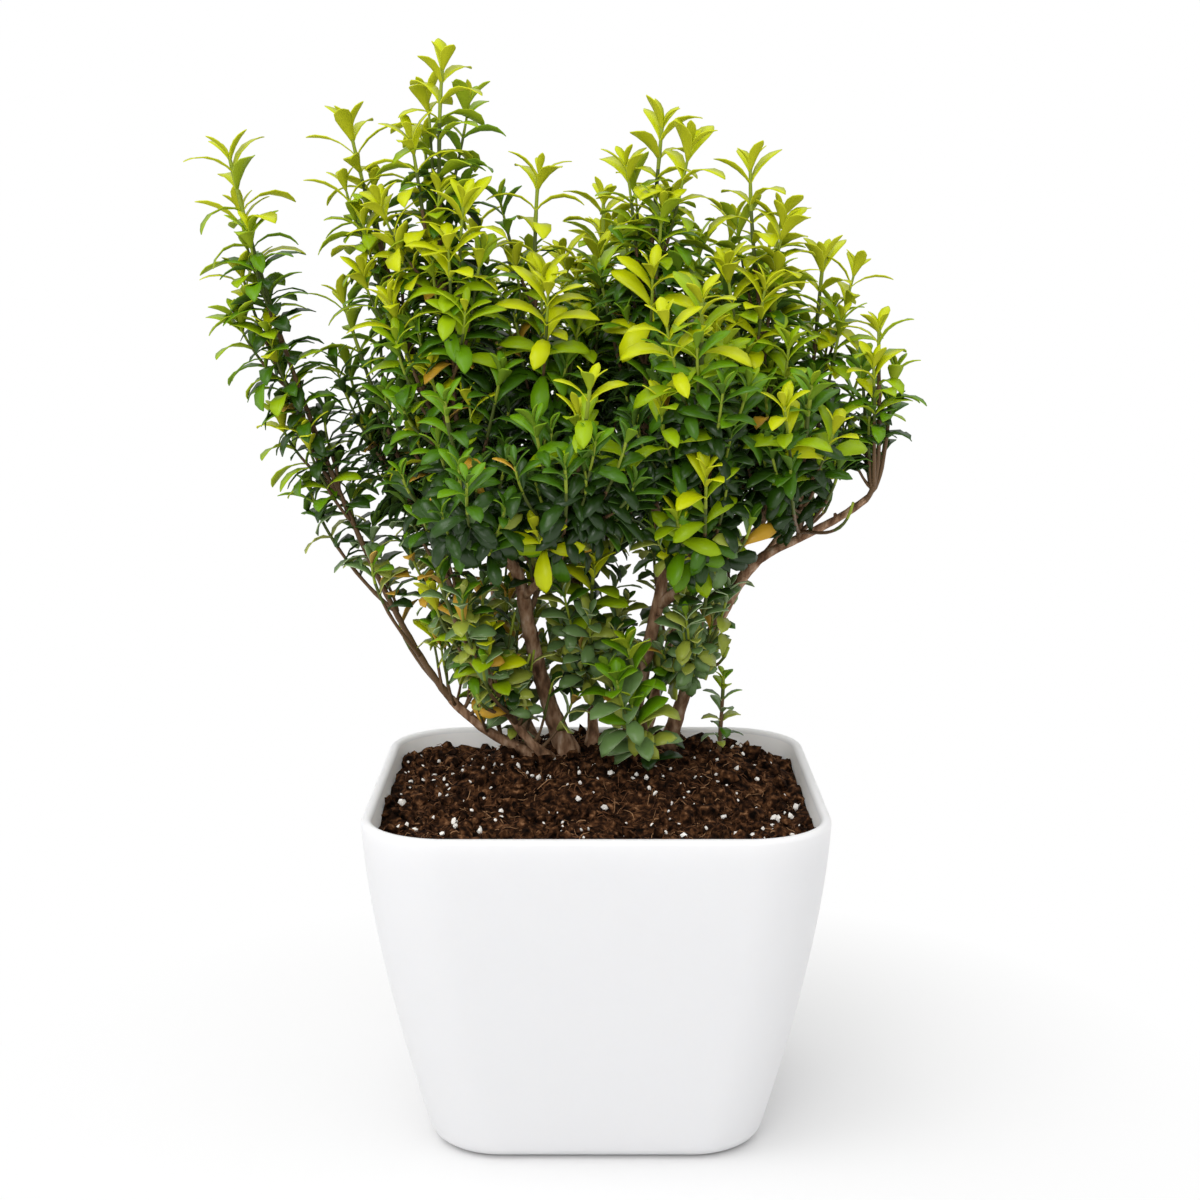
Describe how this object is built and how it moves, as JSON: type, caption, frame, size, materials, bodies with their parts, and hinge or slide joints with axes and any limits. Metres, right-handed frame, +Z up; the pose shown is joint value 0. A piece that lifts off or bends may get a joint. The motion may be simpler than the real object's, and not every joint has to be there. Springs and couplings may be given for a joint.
{
  "type": "potted euonymus shrub",
  "caption": "Small-leaved evergreen shrub with many upright shoots, yellow-green at the tips, growing in a square tapering white pot filled with soil.",
  "frame": {"origin": "centre of the pot's flat underside", "axes": "+Z up, -Y the front of the plant, +X to its right as seen from the front"},
  "size_m": [0.3903, 0.3043, 0.5742],
  "materials": {
    "pot": "satin",
    "soil": "matte",
    "bark": "matte",
    "leaf": "satin"
  },
  "bodies": {
    "root": {"pot": "pot", "soil": "soil", "outer_left_stem": "bark", "left_stem": "bark", "main_trunk": "bark", "centre_stem": "bark", "right_stem": "bark", "outer_right_stem": "bark", "back_left_stem": "bark", "back_right_stem": "bark", "main_left_bough": "bark", "main_right_bough": "bark", "right_upright_bough": "bark", "right_long_bough": "bark", "outer_right_bough": "bark", "right_inner_bough": "bark", "left_arching_foliage": "leaf", "left_inner_foliage": "leaf", "left_low_foliage": "leaf", "left_front_foliage": "leaf", "left_upper_foliage": "leaf", "left_tall_foliage": "leaf", "centre_left_foliage": "leaf", "centre_front_foliage": "leaf", "centre_low_foliage": "leaf", "centre_foliage": "leaf", "centre_right_foliage": "leaf", "right_front_foliage": "leaf", "right_tall_foliage": "leaf", "right_outer_foliage": "leaf", "far_right_foliage": "leaf", "right_low_foliage": "leaf", "right_basal_foliage": "leaf", "back_left_foliage": "leaf", "back_centre_foliage": "leaf", "back_right_foliage": "leaf", "front_shoot_foliage": "leaf", "small_sprig_foliage": "leaf"}
  },
  "joints": []
}
